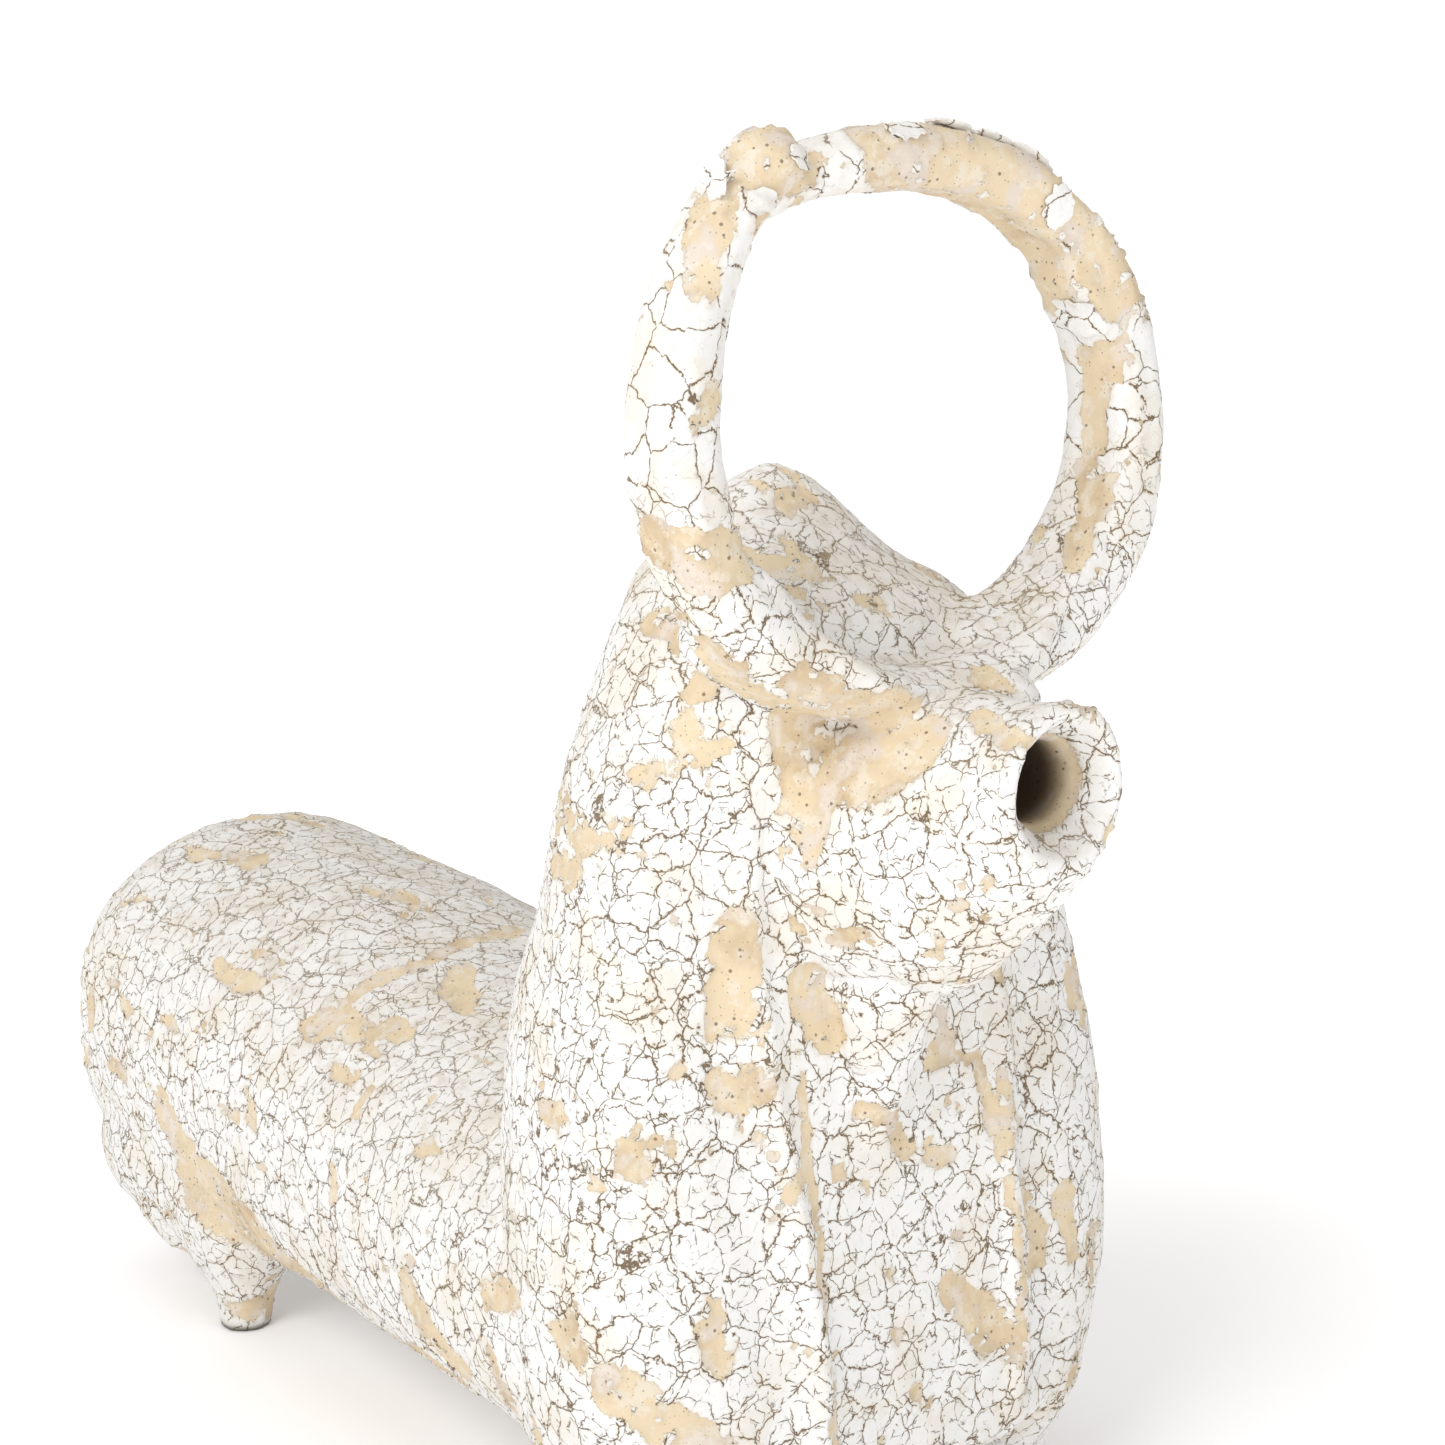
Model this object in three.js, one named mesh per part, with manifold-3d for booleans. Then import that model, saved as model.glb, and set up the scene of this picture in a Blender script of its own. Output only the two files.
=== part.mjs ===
// A hand-built hollow stoneware bull whose two horns close into one upright ring.
// Millimetres, +Z up. The bull faces -Y and X is its width, with its right side towards -X.
// While it is built, Y = 0 is the plane of the horns. The group is then moved along Y, so that the
// origin lies on the floor under the middle of the whole length.
import * as THREE from "three";
import { mergeVertices } from "three/addons/utils/BufferGeometryUtils.js";
import Module from "manifold-3d";

const wasm = await Module();
wasm.setup();

// ---------------------------------------------------------------- driving dimensions
const GAP = 0.3; // clay joint between two pieces
const WALL = 8; // thickness of the hollow pieces

// ring of horns
const RING_WIDTH = 182; // outside, across X
const RING_HEIGHT = 160; // outside, from brow to top
const RING_BOTTOM = 252; // lowest point of the brow coil above the floor
const HORN_THICKNESS = 18; // across the coil, in the plane of the ring
const HORN_DEPTH = 28; // across the coil, front to back
const RING_LEAN = 4; // degrees that the ring leans back
const BROW_SPAN = 124; // width of the brow coil between the horn roots
const BROW_DEPTH = 36; // it is set back into the neck
const LAP_ANGLE = 117; // where the right horn's tip ends, degrees up from +X
const LAP_LENGTH = 14; // degrees that the left horn runs on behind that tip
const LAP_STEP = 7; // how far the right horn's tip stands in front
const LAP_RISE = 13; // how far it stands out above the ring

// trunk, front part
const CHEST_WIDTH = 200; // widest, low on the shoulders
const NECK_WIDTH = 168; // at the level of the jaw
const CHEST_FRONT = -8; // Y of the chest's foremost slab
const WITHERS_SEAM = RING_BOTTOM + 10; // height where the neck ends, behind the brow coil
const WITHERS_RISE = 57; // how far the withers cap stands above that seam
const WITHERS_HEIGHT = WITHERS_SEAM + WITHERS_RISE;
const PANEL_WIDTH = 76; // chest slab, between its two ridges
const PANEL_DEPTH = 50; // how far the slab's floor runs back under the hollow

// trunk, back part
const BARREL_WIDTH = 164;
const RUMP_WIDTH = 154;
const BACK_HEIGHT = 163; // top of the barrel
const BELLY_HEIGHT = 24;
const BARREL_SEAM = 180; // Y of the joint line on the flank
const RUMP_SEAM = 372; // Y where the rump cap starts
const RUMP_END = 398; // Y of the rump's rearmost point
const VENT_BORE = 9; // firing vent in the rump cap
const VENT_DEPTH = 30; // it runs right through the wall

// head
const MUZZLE_FRONT = -57; // Y of the snout's rim
const MUZZLE_HEIGHT = 242; // height of its axis
const MUZZLE_WIDTH = 45;
const MUZZLE_LENGTH = 25;
const BORE = 22; // from the snout's rim into the hollow neck
const BORE_END = 44; // Y where the bore has opened into the hollow neck
const BEVEL_WIDTH = 8.5; // how far the lip's bevel widens the bore
const BEVEL_DEPTH = 12; // how far the bevel runs in from the rim
const FACE_TOP = WITHERS_SEAM; // the face meets the brow coil there
const FACE_WIDTH = 86; // where the cheeks meet the neck
const JAW_BOTTOM = 176;
const JAW_SEAM = 206; // height of the joint between face and jaw

// legs
const FOOT_WIDTH = 18;
const ANKLE_HEIGHT = 18;
const HAUNCH_HEIGHT = 74; // where a leg has run into the body
const HIND_LEG = { x: 60, y: 283, sweep: 38 };
const FORE_LEG = { x: 68, y: 24, sweep: 12 };

// ---------------------------------------------------------------- colours
const SLIP = { color: 0xf6f4ef, roughness: 0.82, metalness: 0 };
const CLAY = { color: 0xe0cba2, roughness: 0.9, metalness: 0 };

// ---------------------------------------------------------------- helpers
const rad = THREE.MathUtils.degToRad;

// A solid for joining and cutting, from a closed three.js geometry.
function solid(geometry) {
  const bare = geometry.clone();
  bare.deleteAttribute("normal");
  bare.deleteAttribute("uv");
  const merged = mergeVertices(bare, 1e-4);
  return new wasm.Manifold(new wasm.Mesh({
    numProp: 3,
    vertProperties: new Float32Array(merged.attributes.position.array),
    triVerts: new Uint32Array(merged.index.array),
  }));
}

function box(min, max) {
  const size = new THREE.Vector3().subVectors(max, min);
  const geometry = new THREE.BoxGeometry(size.x, size.y, size.z);
  const middle = new THREE.Vector3().addVectors(min, max).multiplyScalar(0.5);
  return solid(geometry.translate(middle.x, middle.y, middle.z));
}

const FAR = 600; // beyond every piece

// Everything between two planes of one axis.
function slab(axis, from, to) {
  const min = new THREE.Vector3(-FAR, -FAR, -FAR);
  const max = new THREE.Vector3(FAR, FAR, FAR);
  min[axis] = from;
  max[axis] = to;
  return box(min, max);
}

// A capped cylinder whose rings are moved onto sections: place(t, angle, r) gives the point at
// t from 0 to 1 along it, round by angle, at r from the middle (0) to the skin (1).
function loft(place, around, along) {
  const geometry = new THREE.CylinderGeometry(1, 1, 1, around, along);
  const points = geometry.attributes.position;
  for (let i = 0; i < points.count; i += 1) {
    const x = points.getX(i);
    const z = points.getZ(i);
    const r = Math.hypot(x, z);
    const turn = Math.round((Math.atan2(z, x) / (2 * Math.PI)) * around);
    const angle = (turn / around) * 2 * Math.PI;
    const point = place(points.getY(i) + 0.5, angle, Math.round(r));
    points.setXYZ(i, point.x, point.y, point.z);
  }
  const body = solid(geometry);
  return body.volume() > 0 ? body : solid(flipped(geometry));
}

function flipped(geometry) {
  const index = geometry.index.array.slice();
  for (let i = 0; i < index.length; i += 3) {
    [index[i], index[i + 1]] = [index[i + 1], index[i]];
  }
  return geometry.clone().setIndex(Array.from(index));
}

// A smooth curve through [where, value] pairs, read at any place between the first and the last.
function smooth(pairs) {
  const curve = new THREE.CatmullRomCurve3(
    pairs.map(([where, value]) => new THREE.Vector3(where, value, 0)),
    false, "centripetal",
  );
  const samples = curve.getPoints(pairs.length * 24);
  return (where) => {
    const next = samples.findIndex((p) => p.x >= where);
    if (next === 0) return samples[0].y;
    if (next < 0) return samples[samples.length - 1].y;
    const [a, b] = [samples[next - 1], samples[next]];
    return THREE.MathUtils.lerp(a.y, b.y, (where - a.x) / (b.x - a.x));
  };
}

// The cosine or sine of a rounded-square section: power 2 is an ellipse, more is squarer.
function squared(value, power) {
  return Math.sign(value) * Math.abs(value) ** (2 / power);
}

// ---------------------------------------------------------------- trunk
// grow makes every section larger: -WALL gives the hollow, and GAP gives what cuts a neighbour.

// Neck and shoulders: horizontal sections, each with a front, a back and a half width.
function forebody(grow) {
  const chest = CHEST_WIDTH / 2;
  const neck = NECK_WIDTH / 2;
  const bottom = BELLY_HEIGHT - 5 - grow;
  const top = WITHERS_HEIGHT + grow;
  const halfWidth = smooth([
    [bottom, chest * 0.66], [34, chest * 0.88], [60, chest * 0.98], [92, chest], [124, chest * 0.98],
    [152, chest * 0.94], [192, neck], [212, neck * 0.96], [232, neck * 0.9], [257, neck * 0.77],
    [275, neck * 0.67], [285, neck * 0.58], [292, neck * 0.47], [304, neck * 0.33], [top, neck * 0.2],
  ]);
  const front = smooth([
    [bottom, CHEST_FRONT + 20], [34, CHEST_FRONT + 3], [60, CHEST_FRONT], [92, CHEST_FRONT + 3],
    [124, CHEST_FRONT + 7], [192, CHEST_FRONT + 16], [234, CHEST_FRONT + 17], [258, CHEST_FRONT + 13],
    [280, CHEST_FRONT + 18], [292, CHEST_FRONT + 34], [304, CHEST_FRONT + 48], [top, CHEST_FRONT + 60],
  ]);
  const back = smooth([
    [bottom, 100], [34, 112], [92, 122], [135, 128], [165, 130], [192, 120], [212, 114], [234, 106],
    [258, 100], [291, 91], [304, 84], [top, 76],
  ]);
  const middle = smooth([
    [bottom, 40], [92, 28], [192, 33], [232, 41], [257, 46], [280, 50], [292, 58], [top, 64],
  ]);
  return loft((t, angle, r) => {
    const z = THREE.MathUtils.lerp(bottom, top, endSpread(t));
    const fill = r * roundEnds(z - bottom, top - z, 16, 22);
    const y0 = middle(z);
    const forward = Math.sin(angle) < 0;
    const reach = forward ? y0 - front(z) + grow : back(z) + grow - y0;
    const power = forward ? 2.5 : 2.05;
    const across = (halfWidth(z) + grow) * squared(Math.cos(angle), power);
    return new THREE.Vector3(fill * across, y0 + fill * reach * squared(Math.sin(angle), power), z);
  }, 32, 26);
}

// Closer rings at both ends, where the shape rounds over.
function endSpread(t) {
  return t - Math.sin(2 * Math.PI * t) * 0.09;
}

// 1 along the middle, and a quarter round within each end.
function roundEnds(fromStart, fromEnd, startRound, endRound) {
  const arc = (distance, round) => {
    const left = Math.max(0, 1 - distance / round);
    return Math.sqrt(Math.max(0, 1 - left * left));
  };
  return Math.max(0.02, arc(fromStart, startRound) * arc(fromEnd, endRound));
}

// Barrel: upright sections from inside the shoulders to the rump.
function barrel(grow) {
  const start = 60;
  const end = RUMP_END + grow;
  const wide = BARREL_WIDTH / 2;
  const rump = RUMP_WIDTH / 2;
  const halfWidth = smooth([
    [start, wide * 1.16], [130, wide * 1.1], [180, wide * 1.04], [250, wide], [320, wide * 0.98],
    [RUMP_SEAM - 12, rump], [end, rump * 0.97],
  ]);
  const top = smooth([
    [start, BACK_HEIGHT - 27], [150, BACK_HEIGHT - 26], [203, BACK_HEIGHT - 21], [230, BACK_HEIGHT - 16],
    [255, BACK_HEIGHT - 11], [282, BACK_HEIGHT - 7], [338, BACK_HEIGHT - 3], [RUMP_SEAM, BACK_HEIGHT],
    [end, BACK_HEIGHT - 3],
  ]);
  const bottom = smooth([
    [start, BELLY_HEIGHT + 2], [180, BELLY_HEIGHT - 1], [250, BELLY_HEIGHT - 4], [305, BELLY_HEIGHT - 3],
    [345, BELLY_HEIGHT + 1], [end, BELLY_HEIGHT + 13],
  ]);
  return loft((t, angle, r) => {
    const y = THREE.MathUtils.lerp(start, end, endSpread(t));
    const fill = r * roundEnds(FAR, end - y, 1, 22);
    const mid = (top(y) + bottom(y)) / 2;
    const half = (top(y) - bottom(y)) / 2 + grow;
    const power = Math.sin(angle) < 0 ? 2.8 : 2.15;
    const x = (halfWidth(y) + grow) * squared(Math.cos(angle), power);
    return new THREE.Vector3(fill * x, y, mid + fill * half * squared(Math.sin(angle), power));
  }, 32, 18);
}

function trunk(grow) {
  return forebody(grow).add(barrel(grow));
}

// ---------------------------------------------------------------- ring of horns
const coilX = (RING_WIDTH - HORN_THICKNESS) / 2;
const coilZ = (RING_HEIGHT - HORN_THICKNESS) / 2;
const ringMiddle = RING_BOTTOM + RING_HEIGHT / 2;

// A point of the coil's centre line. The ring is a little squarer than an ellipse.
function ringPoint(turn, rise) {
  const full = 1 + 0.025 * Math.sin(2 * turn) ** 2;
  const x = (coilX * full + rise) * Math.cos(turn);
  return new THREE.Vector3(x, 0, (coilZ * full + rise) * Math.sin(turn));
}

// A stretch of coil from one angle to another. size(t) gives its half thickness and half depth,
// forward(t) how far it is moved to the front, and rise(t) how far it is moved outwards.
function coil(from, to, size, forward, rise, along) {
  return loft((t, angle, r) => {
    const turn = rad(THREE.MathUtils.lerp(from, to, t));
    const out = new THREE.Vector3(Math.cos(turn) / coilX, 0, Math.sin(turn) / coilZ).normalize();
    const [thick, deep] = size(t);
    const centre = ringPoint(turn, rise(t));
    centre.addScaledVector(out, r * thick * squared(Math.cos(angle), 2.5));
    centre.y = r * deep * squared(Math.sin(angle), 2.5) - forward(t);
    centre.z += coilZ;
    centre.applyAxisAngle(new THREE.Vector3(1, 0, 0), -rad(RING_LEAN));
    centre.z += ringMiddle - coilZ;
    return centre;
  }, 14, along);
}

const still = () => 0;

// Angle of the horn root, where the coil is half the brow's span from the middle.
const rootAngle = (Math.acos(BROW_SPAN / 2 / coilX) * 180) / Math.PI;
const jointAngle = (GAP / coilZ) * (180 / Math.PI);

function brow(grow) {
  const size = (t) => {
    const side = Math.abs(2 * t - 1);
    const thick = THREE.MathUtils.lerp(HORN_THICKNESS * 0.42, HORN_THICKNESS * 0.68, side);
    return [thick + grow, BROW_DEPTH / 2 + grow];
  };
  const back = () => (HORN_DEPTH - BROW_DEPTH) / 2;
  return coil(180 + rootAngle + jointAngle, 360 - rootAngle - jointAngle, size, back, still, 14);
}

function rightHorn(grow) {
  const size = (t) => {
    const tip = Math.sqrt(Math.max(0.03, 1 - Math.max(0, (t - 0.93) / 0.07) ** 2));
    const taper = THREE.MathUtils.lerp(1.16, 1, Math.min(1, t * 2.2));
    const thick = tip * (HORN_THICKNESS / 2) * taper;
    const deep = tip * (HORN_DEPTH / 2) * (1 - 0.35 * t * t);
    return [thick + grow, deep + grow];
  };
  const forward = (t) => LAP_STEP * t ** 3;
  const rise = (t) => LAP_RISE * Math.max(0, (t - 0.5) / 0.5) ** 2;
  return coil(180 + rootAngle, LAP_ANGLE, size, forward, rise, 22);
}

function leftHorn() {
  const size = (t) => {
    const taper = THREE.MathUtils.lerp(1.25, 1, Math.min(1, t * 1.5));
    const end = 1 - 0.45 * Math.max(0, (t - 0.8) / 0.2) ** 2;
    return [(HORN_THICKNESS / 2) * taper * end, (HORN_DEPTH / 2) * end];
  };
  const forward = (t) => -LAP_STEP * Math.max(0, (t - 0.6) / 0.4) ** 2;
  return coil(-rootAngle, LAP_ANGLE + LAP_LENGTH, size, forward, still, 30);
}

// ---------------------------------------------------------------- head
// Upright sections from the neck forward to the rim of the snout.
function head() {
  const start = 40;
  const snout = MUZZLE_WIDTH / 2;
  const face = FACE_WIDTH / 2;
  const halfWidth = smooth([
    [0, face], [30, face * 0.98], [50, face * 0.84], [68, face * 0.68], [84, snout * 1.06],
    [94, snout * 0.96], [start - MUZZLE_FRONT, snout],
  ]);
  const top = smooth([
    [0, FACE_TOP - 4], [50, FACE_TOP], [84, FACE_TOP], [start - MUZZLE_FRONT, MUZZLE_HEIGHT + snout],
  ]);
  const bottom = smooth([
    [0, JAW_BOTTOM - 4], [50, JAW_BOTTOM], [68, JAW_BOTTOM + 9], [84, JAW_BOTTOM + 26],
    [94, JAW_BOTTOM + 37], [start - MUZZLE_FRONT, MUZZLE_HEIGHT - snout],
  ]);
  return loft((t, angle, r) => {
    const along = t * (start - MUZZLE_FRONT);
    const mid = (top(along) + bottom(along)) / 2;
    const half = (top(along) - bottom(along)) / 2;
    const x = r * halfWidth(along) * Math.cos(angle);
    return new THREE.Vector3(x, start - along, mid + r * half * Math.sin(angle));
  }, 24, 18);
}

// The bore from the rim into the hollow neck, with the lip's bevel.
function bore() {
  const ahead = 1; // the tube starts just in front of the rim
  const depth = BORE_END - MUZZLE_FRONT + ahead;
  const tube = new THREE.CylinderGeometry(BORE / 2, BORE / 2, depth, 28);
  tube.translate(0, MUZZLE_FRONT - ahead + depth / 2, MUZZLE_HEIGHT);
  const wide = BORE / 2 + BEVEL_WIDTH;
  const bevel = new THREE.CylinderGeometry(BORE / 2, wide, BEVEL_DEPTH, 28);
  bevel.translate(0, MUZZLE_FRONT + BEVEL_DEPTH / 2, MUZZLE_HEIGHT);
  return solid(tube).add(solid(bevel));
}

// ---------------------------------------------------------------- legs
// A stub drawn out of the body: a narrow foot that flares into the haunch, up and back.
function leg(place, side) {
  const foot = FOOT_WIDTH / 2;
  const width = smooth([
    [0, foot], [ANKLE_HEIGHT * 0.7, foot * 1.1], [ANKLE_HEIGHT + 8, foot * 1.9], [45, foot * 2.7],
    [HAUNCH_HEIGHT, foot * 2.4],
  ]);
  const rear = smooth([
    [0, foot], [ANKLE_HEIGHT * 0.6, foot * 1.2], [ANKLE_HEIGHT + 4, foot + place.sweep * 0.7],
    [42, foot * 2 + place.sweep * 1.7], [HAUNCH_HEIGHT, foot * 2 + place.sweep * 1.9],
  ]);
  return loft((t, angle, r) => {
    const z = t * HAUNCH_HEIGHT;
    const deep = Math.sin(angle) > 0 ? rear(z) : width(z);
    const inward = Math.min(1, z / HAUNCH_HEIGHT) * foot;
    const x = place.x - inward + r * width(z) * Math.cos(angle);
    return new THREE.Vector3(side * x, place.y + r * deep * Math.sin(angle), z);
  }, 16, 9);
}

// ---------------------------------------------------------------- assembly
const group = new THREE.Group();

function addPiece(name, body, look) {
  const mesh = body.getMesh();
  const geometry = new THREE.BufferGeometry();
  geometry.setAttribute("position", new THREE.BufferAttribute(mesh.vertProperties, 3));
  geometry.setIndex(new THREE.BufferAttribute(mesh.triVerts, 1));
  geometry.computeVertexNormals();
  const piece = new THREE.Mesh(geometry, new THREE.MeshStandardMaterial(look));
  piece.name = name;
  group.add(piece);
}

const outside = trunk(0);
const shell = outside.subtract(trunk(-WALL));
const passage = bore();
const panelHalf = PANEL_WIDTH / 2;
const panelBack = CHEST_FRONT + PANEL_DEPTH;
const chestZone = (grow) => box(
  new THREE.Vector3(-panelHalf - grow, -FAR, -FAR),
  new THREE.Vector3(panelHalf + grow, panelBack + grow, WITHERS_SEAM),
);

function addTrunk() {
  const foreHalf = shell.intersect(slab("y", -FAR, BARREL_SEAM)).subtract(brow(GAP)).subtract(passage);
  const lower = foreHalf.intersect(slab("z", -FAR, WITHERS_SEAM));
  addPiece("forequarters_shell", lower.subtract(chestZone(GAP)), SLIP);
  addPiece("chest_panel", lower.intersect(chestZone(0)), SLIP);
  addPiece("withers_cap", foreHalf.intersect(slab("z", WITHERS_SEAM + GAP, FAR)), SLIP);
  addPiece("hind_barrel", shell.intersect(slab("y", BARREL_SEAM + GAP, RUMP_SEAM)), SLIP);
  const vent = new THREE.CylinderGeometry(VENT_BORE / 2, VENT_BORE / 2, 2 * VENT_DEPTH, 16);
  vent.translate(0, RUMP_END, (BACK_HEIGHT + BELLY_HEIGHT) / 2);
  const cap = shell.intersect(slab("y", RUMP_SEAM + GAP, FAR)).subtract(solid(vent));
  addPiece("rump_cap", cap, SLIP);
}

function addHead() {
  const whole = head().subtract(trunk(GAP)).subtract(brow(GAP)).subtract(passage);
  const muzzleSeam = MUZZLE_FRONT + MUZZLE_LENGTH;
  const behind = whole.intersect(slab("y", muzzleSeam + GAP, FAR));
  addPiece("muzzle_tube", whole.intersect(slab("y", -FAR, muzzleSeam)), SLIP);
  addPiece("face_block", behind.intersect(slab("z", JAW_SEAM + GAP, FAR)), SLIP);
  addPiece("jaw_wedge", behind.intersect(slab("z", -FAR, JAW_SEAM)), SLIP);
}

function addHorns() {
  addPiece("brow_band", brow(0), CLAY);
  addPiece("right_horn", rightHorn(0), SLIP);
  addPiece("left_horn", leftHorn().subtract(rightHorn(GAP)), SLIP);
}

function addLegs() {
  const body = trunk(GAP);
  const places = [["fore", FORE_LEG], ["hind", HIND_LEG]];
  for (const [end, place] of places) {
    addPiece(`right_${end}_leg`, leg(place, -1).subtract(body), SLIP);
    addPiece(`left_${end}_leg`, leg(place, 1).subtract(body), SLIP);
  }
}

addTrunk();
addHead();
addHorns();
addLegs();

// The middle of the length, from the snout's rim to the rump, comes over the origin.
group.position.y = -(MUZZLE_FRONT + RUMP_END) / 2;

export default group;
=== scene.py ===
"""Looks of the hollow stoneware bull: a continuous skin of clay under crackled slip, cut at its joints."""

import math
import random

import bmesh
import bpy
import numpy as np
from mathutils import Matrix, Vector
from mathutils.bvhtree import BVHTree
from mathutils.kdtree import KDTree


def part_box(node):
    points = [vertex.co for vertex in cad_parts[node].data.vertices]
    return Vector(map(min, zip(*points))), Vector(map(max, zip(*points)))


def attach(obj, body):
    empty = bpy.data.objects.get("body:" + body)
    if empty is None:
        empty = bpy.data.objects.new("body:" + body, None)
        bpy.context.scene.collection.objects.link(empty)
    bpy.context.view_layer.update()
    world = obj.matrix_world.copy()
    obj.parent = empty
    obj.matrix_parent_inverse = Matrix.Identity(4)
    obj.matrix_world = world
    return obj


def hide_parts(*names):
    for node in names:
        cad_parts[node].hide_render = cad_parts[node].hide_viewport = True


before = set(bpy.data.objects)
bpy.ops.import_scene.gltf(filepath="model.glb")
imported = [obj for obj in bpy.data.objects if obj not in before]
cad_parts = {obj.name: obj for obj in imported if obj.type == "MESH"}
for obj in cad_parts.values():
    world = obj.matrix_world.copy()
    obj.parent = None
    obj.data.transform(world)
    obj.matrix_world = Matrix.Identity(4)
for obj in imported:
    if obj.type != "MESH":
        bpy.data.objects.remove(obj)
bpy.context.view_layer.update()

MM = 0.001

# ---------------------------------------------------------------- sizes
VOXEL = 1.7 * MM  # facet of the clay skin
HOLLOW_VOXEL = 4 * MM  # facet of the hollow inside
SWELL = 0.35 * MM  # closes the clay joints before the skin is made
SKIN_ROUNDING = 8  # smoothing passes that soften the joints between pieces
SLIP_THICK = 0.7 * MM  # how far the slip stands above the bare clay
SLIP_CURL = 0.35 * MM  # its edges curl up by this much more
BORE_RADIUS = 11 * MM
HORN_HALF = 9 * MM  # half of a horn's thickness
HORN_LEAN = math.tan(math.radians(4))  # the ring leans back
BORE_PLUG = 60 * MM  # the bore is closed this far in while the skin is made
BORE_PLUG_LENGTH = 30 * MM
VENT_PLUG_RADIUS = 6 * MM
MUZZLE_RADIUS = 22.5 * MM
BROW_HALF_DEPTH = 18 * MM
FAR = 600 * MM  # beyond every piece
FLAKE_THICK = 0.8 * MM  # lifted pieces of slip

BROW_LOW, BROW_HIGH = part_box("brow_band")
MUZZLE_LOW, MUZZLE_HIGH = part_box("muzzle_tube")
FACE_LOW, FACE_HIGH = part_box("face_block")
JAW_LOW, JAW_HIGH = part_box("jaw_wedge")
RUMP_LOW, RUMP_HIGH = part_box("rump_cap")
BARREL_LOW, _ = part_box("hind_barrel")
SHELL_LOW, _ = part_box("forequarters_shell")
CHEST_LOW, CHEST_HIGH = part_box("chest_panel")
RIGHT_LOW, RIGHT_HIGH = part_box("right_horn")
LEFT_LOW, LEFT_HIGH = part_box("left_horn")
HORN_PLANE = BROW_LOW.y + BROW_HALF_DEPTH  # middle of the horns, front to back
RING_MIDDLE = (BROW_LOW.z + LEFT_HIGH.z) / 2
MUZZLE_AXIS = MUZZLE_HIGH.z - MUZZLE_RADIUS


# ---------------------------------------------------------------- mesh helpers
def new_object(name, bm):
    mesh = bpy.data.meshes.new(name)
    bm.to_mesh(mesh)
    bm.free()
    piece = bpy.data.objects.new(name, mesh)
    bpy.context.scene.collection.objects.link(piece)
    return piece


def apply_modifiers(piece):
    """Replaces the piece's mesh by what its modifiers make of it."""
    graph = bpy.context.evaluated_depsgraph_get()
    made = bpy.data.meshes.new_from_object(piece.evaluated_get(graph), depsgraph=graph)
    piece.modifiers.clear()
    old = piece.data
    piece.data = made
    bpy.data.meshes.remove(old)
    return piece


def combine(piece, tool, operation):
    """Cuts one closed mesh by another, or keeps what they share."""
    step = piece.modifiers.new(operation.lower(), "BOOLEAN")
    step.operation = operation
    step.solver = "MANIFOLD"
    step.object = tool
    return apply_modifiers(piece)


def duplicate(piece, name):
    copy = bpy.data.objects.new(name, piece.data.copy())
    bpy.context.scene.collection.objects.link(copy)
    return copy


def discard(piece):
    mesh = piece.data
    bpy.data.objects.remove(piece)
    bpy.data.meshes.remove(mesh)


def points_of(mesh):
    co = np.empty(len(mesh.vertices) * 3, np.float32)
    mesh.vertices.foreach_get("co", co)
    return co.reshape(-1, 3).astype(float)


def normals_of(mesh):
    no = np.empty(len(mesh.vertices) * 3, np.float32)
    mesh.vertex_normals.foreach_get("vector", no)
    return no.reshape(-1, 3).astype(float)


def set_points(mesh, co):
    mesh.vertices.foreach_set("co", co.astype(np.float32).ravel())
    mesh.update()


def paint(mesh, name, values):
    """Stores one number per vertex for the materials to read."""
    layer = mesh.attributes.get(name) or mesh.attributes.new(name, "FLOAT", "POINT")
    layer.data.foreach_set("value", values.astype(np.float32))


def add_ball(bm, centre, radii, turn=0.0):
    place = Matrix.Translation(centre) @ Matrix.Rotation(turn, 4, "X") @ Matrix.Diagonal((*radii, 1))
    bmesh.ops.create_icosphere(bm, subdivisions=3, radius=1, matrix=place)


def block(low, high):
    bm = bmesh.new()
    low, high = Vector(low), Vector(high)
    place = Matrix.Translation((low + high) / 2) @ Matrix.Diagonal((*(high - low), 1))
    bmesh.ops.create_cube(bm, size=1, matrix=place)
    return new_object("block", bm)


# ---------------------------------------------------------------- noise
def lattice_noise(points, seed):
    """Smooth noise from -1 to 1, the same each time, at each row of points."""
    cell = np.floor(points).astype(np.int64)
    part = points - cell
    ease = part * part * part * (part * (part * 6 - 15) + 10)
    total = np.zeros(len(points))
    for corner in range(8):
        step = np.array([corner & 1, corner >> 1 & 1, corner >> 2 & 1])
        at = cell + step
        code = (at[:, 0] * 73856093) ^ (at[:, 1] * 19349663) ^ (at[:, 2] * 83492791) ^ (seed * 2654435761)
        code = (code ^ (code >> 13)) * 1274126177 & 0x7FFFFFFF
        code = (code ^ (code >> 15)) * 668265263 & 0x7FFFFFFF
        round_turn = (code & 0xFFFF) / 65536 * 2 * math.pi
        height = (code >> 16 & 0x7FFF) / 16384 - 1
        flat = np.sqrt(np.clip(1 - height * height, 0, 1))
        gradient = np.stack([flat * np.cos(round_turn), flat * np.sin(round_turn), height], 1)
        weight = np.prod(np.where(step == 1, ease, 1 - ease), axis=1)
        total += weight * np.sum(gradient * (part - step), axis=1)
    return total * 1.6


def clouds(points, size, seed, octaves=3, stretch=(1, 1, 1)):
    """Noise with finer noise on top. size is the width of its largest lumps."""
    total = np.zeros(len(points))
    strength = 1.0
    place = points / (size * np.array(stretch))
    for octave in range(octaves):
        total += strength * lattice_noise(place + 17.3 * octave, seed + octave)
        place = place * 2.1
        strength *= 0.5
    return total / 1.5


def ramp(value, start, end):
    t = np.clip((value - start) / (end - start), 0, 1)
    return t * t * (3 - 2 * t)


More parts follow.
